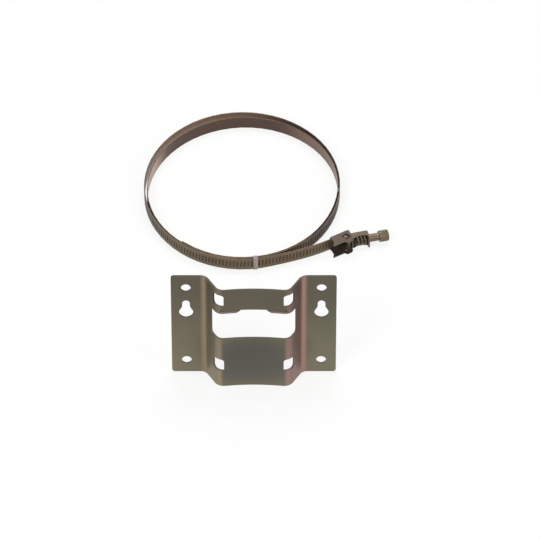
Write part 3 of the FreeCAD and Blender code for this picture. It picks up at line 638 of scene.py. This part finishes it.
def shade_turns(layers):
    across = layers.axis(layers.place, "X")
    # Painted shade on both sides of the coil and on the faces that look inwards.
    left = layers.ramp(across, *LEFT_SIDE, 1.0, 0.0)
    layers.tint(LEFT_SHADE, layers.product(left, 0.80))
    right = layers.ramp(across, *RIGHT_SIDE)
    behind = layers.ramp(layers.axis(layers.place, "Y"), *BEHIND_CLAMP)
    layers.tint(RIGHT_SHADE, layers.product(right, behind, 0.90))
    inwards = facing_inwards(layers)
    layers.tint(INNER_SHADE, inwards)
    # Painted light on the inner face of the outermost turn, less of it towards the right.
    outermost = layers.ramp(oval_radius(layers), 0.90, 0.93)
    bright = layers.ramp(across, *PAINTED_LIGHT_SIDE, 1.0, 0.3)
    layers.tint(OUTERMOST_PAINTED_LIGHT, layers.product(outermost, bright, inwards))


strap.data.materials.append(
    strip_finish(
        "strap_passivated",
        base=(0.144, 0.099, 0.066),
        cloud_tint=(0.157, 0.121, 0.075),
        roughness=0.40,
        cloud_scale=30.0,
        shade=shade_turns,
    )
)
print("strap:", len(strap.data.materials[0].node_tree.nodes), "nodes")

# %% [markdown]
# The beds of the pressed grooves lie in shade, deeper than the band around them, so they get a
# second, darker material: a painted shade. Picking hundreds of them by hand is out of the
# question, but they are all cut to one size, so a face's area and the length of its rim tell a
# bed from everything else.

# %% The beds of the grooves
strap.data.materials.append(
    strip_finish(
        "groove_painted_shade",
        base=(0.070, 0.048, 0.033),
        cloud_tint=(0.085, 0.064, 0.040),
        roughness=0.55,
        cloud_scale=90.0,
    )
)
BED_AREA = (7.0 * MM * MM, 10.5 * MM * MM)
BED_RIM = (14.0 * MM, 16.5 * MM)


def is_bed(face):
    corners = [strap.data.vertices[index].co for index in face.vertices]
    following = corners[1:] + corners[:1]
    rim = sum((one - other).length for one, other in zip(corners, following))
    return BED_AREA[0] < face.area < BED_AREA[1] and BED_RIM[0] < rim < BED_RIM[1]


beds = [face for face in strap.data.polygons if is_bed(face)]
# Painted shade: the darker material goes on every bed.
for face in beds:
    face.material_index = 1
print("groove beds:", len(beds))

# %% [markdown]
# The clamp's strip is plated like the strap. In the saddle's square window the wall of the
# carrier lies in shade and looks nearly black around the trunnion, so that ring gets a painted
# shade of its own, on the upper wall only, because that is the one that shows.

# %% Finishes of the saddle and the carrier
PIVOT_SHADE_BLACK = (0.020, 0.016, 0.013)
PIVOT = (86.0 * MM, 170.58 * MM, 0.0)
TRUNNION_RADIUS = 2.15 * MM
PIVOT_SHADE_RADIUS = 5.0 * MM
UPPER_WALL_FROM = -45.5 * MM


def shade_pivot(layers):
    # Painted shade round the trunnion, where the carrier's wall shows in the saddle's window.
    flat = layers.vector("MULTIPLY", layers.place, IN_PLAN)
    away = layers.vector("DISTANCE", flat, PIVOT, "Value")
    ring = layers.math("GREATER_THAN", away, TRUNNION_RADIUS)
    near = layers.math("LESS_THAN", away, PIVOT_SHADE_RADIUS)
    upper = layers.math("GREATER_THAN", layers.axis(layers.place, "Z"), UPPER_WALL_FROM)
    layers.tint(PIVOT_SHADE_BLACK, layers.product(ring, upper, near))


saddle.data.materials.append(
    strip_finish(
        "saddle_passivated",
        base=(0.112, 0.083, 0.067),
        cloud_tint=(0.104, 0.080, 0.060),
        roughness=0.42,
        cloud_scale=60.0,
    )
)
carrier.data.materials.append(
    strip_finish(
        "carrier_passivated",
        base=(0.165, 0.130, 0.088),
        cloud_tint=(0.145, 0.105, 0.085),
        roughness=0.36,
        cloud_scale=120.0,
        shade=shade_pivot,
    )
)
print("clamp:", saddle.data.materials[0].name, carrier.data.materials[0].name)

# %% [markdown]
# The valleys of a thread lie in shade while its crests catch the light, so the valleys get a
# painted shade, nearly black. The distance from the screw's own axis tells the one from the
# other, and it stays right when the screw turns.

# %% The screw's finish
VALLEY_SHADE_BLACK = (0.022, 0.021, 0.015)


def shade_worm(layers):
    arm = layers.vector("SUBTRACT", layers.place, tuple(screw_origin))
    off_axis = layers.vector("CROSS_PRODUCT", arm, tuple(screw_axis))
    radius = layers.vector("LENGTH", off_axis, output="Value")
    along = layers.vector("DOT_PRODUCT", arm, tuple(screw_axis), "Value")
    # Painted shade in the valleys of the thread.
    valley = layers.product(
        layers.ramp(radius, WORM_ROOT, WORM_CREST, 1.0, 0.0),
        layers.math("GREATER_THAN", along, WORM_START),
        layers.math("LESS_THAN", along, WORM_END),
    )
    layers.tint(VALLEY_SHADE_BLACK, valley)


screw.data.materials.clear()
screw.data.materials.append(
    strip_finish(
        "screw_passivated",
        base=(0.175, 0.145, 0.088),
        cloud_tint=(0.150, 0.105, 0.072),
        roughness=0.34,
        cloud_scale=150.0,
        grain_stretch=EVEN,
        shade=shade_worm,
    )
)
print("screw:", len(screw.data.materials[0].node_tree.nodes), "nodes")

# %% [markdown]
# The tie is milky plastic: it lets a part of the light through and scatters the rest just
# under its surface. Transmission alone would look like glass, so both are mixed.

# %% The tie's finish
MILKY = (0.36, 0.30, 0.27)
MILKY_CLOUD = (0.46, 0.41, 0.38)
SCATTER_DEPTH = (2 * MM, 2 * MM, 2 * MM)


def tie_finish():
    layers = Layers("tie_milky", 0.0, 0.45)
    layers.tint(MILKY)
    cloud = layers.cloud(MILKY_CLOUD, EVEN, 300.0)
    layers.shader.inputs["Subsurface Weight"].default_value = 0.25
    layers.shader.inputs["Subsurface Radius"].default_value = SCATTER_DEPTH
    layers.shader.inputs["Transmission Weight"].default_value = 0.25
    return layers.finish(cloud, 0.02 * MM)


tie.data.materials.append(tie_finish())
print("tie:", len(tie.data.materials[0].node_tree.nodes), "nodes")

# %% [markdown]
# Each piece is printed with the record's material slot that its finish stands for.

# %% Material slots
for piece, slot in (
    (plate, "plate_steel"),
    (strap, "strap_steel"),
    (tie, "tie_plastic"),
    (saddle, "saddle_steel"),
    (carrier, "carrier_steel"),
    (screw, "screw_steel"),
):
    print(piece.name, "stands for", slot)

# %% [markdown]
# The photograph is taken from in front and above with a long lens, so the plate hardly
# narrows towards its lower edge. The camera looks at one point between plate and coil,
# from 41 degrees up, and the lens is worked out from the scale of the plate in the
# picture, which is 540 pixels wide.

# %% Camera
ELEVATION = math.radians(40.9)
DISTANCE = 4.4
PLATE_IN_FRONT = 0.090
AIM = Vector((0.0147, 0.0918, -0.0160))
PIXELS_PER_METRE = 1102.0
IMAGE_PIXELS = 540.0
SENSOR = 36.0
camera_data = bpy.data.cameras.new("camera")
camera_data.sensor_width = SENSOR
camera_data.lens = SENSOR * PIXELS_PER_METRE * (DISTANCE - PLATE_IN_FRONT) / IMAGE_PIXELS
camera_data.clip_end = 20.0
camera = bpy.data.objects.new("camera", camera_data)
camera.rotation_euler = (math.pi / 2.0 - ELEVATION, 0.0, 0.0)
camera.location = AIM + DISTANCE * Vector((0.0, -math.cos(ELEVATION), math.sin(ELEVATION)))
scene.collection.objects.link(camera)
scene.camera = camera
print("lens %.0f mm" % camera_data.lens)

# %% [markdown]
# A white background could be had with more light, but that would bleach the object. So
# the camera is shown a steady white, and mirrored and refracted rays see it too. Light
# that bounces dully meets an ordinary pale surface, which keeps the lighting plain.


# %% White for what looks at it, plain shading for bounced light
def seen_share(tree, share):
    """The share for rays that show the backdrop: the camera's, mirrored, refracted."""
    path = tree.nodes.new("ShaderNodeLightPath")
    total = path.outputs["Is Camera Ray"]
    for name in ("Is Glossy Ray", "Is Transmission Ray"):
        node = tree.nodes.new("ShaderNodeMath")
        node.operation = "MAXIMUM"
        tree.links.new(total, node.inputs[0])
        tree.links.new(path.outputs[name], node.inputs[1])
        total = node.outputs["Value"]
    factor = tree.nodes.new("ShaderNodeMath")
    factor.operation = "MULTIPLY"
    factor.inputs[1].default_value = share
    tree.links.new(total, factor.inputs[0])
    return factor.outputs["Value"]


def show_white(tree, plain, white, share, output):
    """Mixes the plain shading with a share of the white, and sends that to the output."""
    mix = tree.nodes.new("ShaderNodeMixShader")
    tree.links.new(seen_share(tree, share), mix.inputs["Fac"])
    tree.links.new(plain, mix.inputs[1])
    tree.links.new(white, mix.inputs[2])
    tree.links.new(mix.outputs["Shader"], tree.nodes[output].inputs["Surface"])


# %% [markdown]
# The floor is one large pale sheet, at the lowest point of the solids. A fifth of its real
# shading is left in the picture, so that the object keeps its soft shadow.

# %% Floor
FLOOR_SIZE = 8.0
FLOOR_WHITE = (1.02, 1.02, 1.01, 1.0)
FLOOR_WHITE_SHARE = 0.80
floor_height = cad_bounds[0][2]
bpy.ops.object.select_all(action="DESELECT")
bpy.ops.mesh.primitive_plane_add(size=FLOOR_SIZE, location=(0, 0, floor_height))
floor = bpy.context.active_object
floor.name = "floor"
bpy.ops.object.transform_apply(location=True, rotation=True, scale=True)
paper = bpy.data.materials.new("floor_paper")
paper.use_nodes = True
tree = paper.node_tree
plain = tree.nodes["Principled BSDF"]
plain.inputs["Base Color"].default_value = (0.82, 0.82, 0.82, 1.0)
plain.inputs["Roughness"].default_value = 0.9
plain.inputs["Specular IOR Level"].default_value = 0.1
steady = tree.nodes.new("ShaderNodeEmission")
steady.inputs["Color"].default_value = FLOOR_WHITE
show_white(
    tree,
    plain.outputs["BSDF"],
    steady.outputs["Emission"],
    FLOOR_WHITE_SHARE,
    "Material Output",
)
floor.data.materials.append(paper)
print("floor at %.1f mm" % (floor_height / MM))

# %% [markdown]
# Around the floor there is only sky. It lights the object from all sides with a pale,
# slightly blue grey, and everything that looks at it directly sees white.

# %% Surroundings
SKY_COLOUR = (0.75, 0.78, 0.82, 1.0)
SKY_STRENGTH = 0.55
world = bpy.data.worlds.new("studio")
scene.world = world
world.use_nodes = True
tree = world.node_tree
sky = tree.nodes["Background"]
sky.inputs["Color"].default_value = SKY_COLOUR
sky.inputs["Strength"].default_value = SKY_STRENGTH
white = tree.nodes.new("ShaderNodeBackground")
show_white(
    tree, sky.outputs["Background"], white.outputs["Background"], 1.0, "World Output"
)
print("sky strength:", SKY_STRENGTH)

# %% [markdown]
# The shadows in the photograph are soft and faint. Three large area lamps give the same:
# a key from the front left, a weaker fill from the right, and one from above and behind
# for the upper edges of the coil.

# %% Soft lamps
LIT_PLACE = Vector((0.0, 0.1, -0.02))
# Name, place, width and height in metres, power in watts
for name, place, size, power in (
    ("key", (-0.9, -1.3, 1.5), (0.9, 0.9), 22.0),
    ("fill", (1.4, -0.9, 0.9), (0.7, 1.1), 9.0),
    ("top", (0.1, 0.9, 1.6), (1.2, 0.8), 14.0),
):
    data = bpy.data.lights.new(name, "AREA")
    data.shape = "RECTANGLE"
    data.size, data.size_y = size
    data.energy = power
    lamp = bpy.data.objects.new(name, data)
    lamp.location = place
    direction = LIT_PLACE - Vector(place)
    lamp.rotation_euler = direction.to_track_quat("-Z", "Y").to_euler()
    scene.collection.objects.link(lamp)
    print(name, "lamp:", power, "W")

# %% [markdown]
# Blender can show the same light in several ways. The Standard view is the plain one, in
# which a colour comes out about as it is written.

# %% Plain view of the colours
scene.view_settings.view_transform = "Standard"
print("view:", scene.view_settings.view_transform)
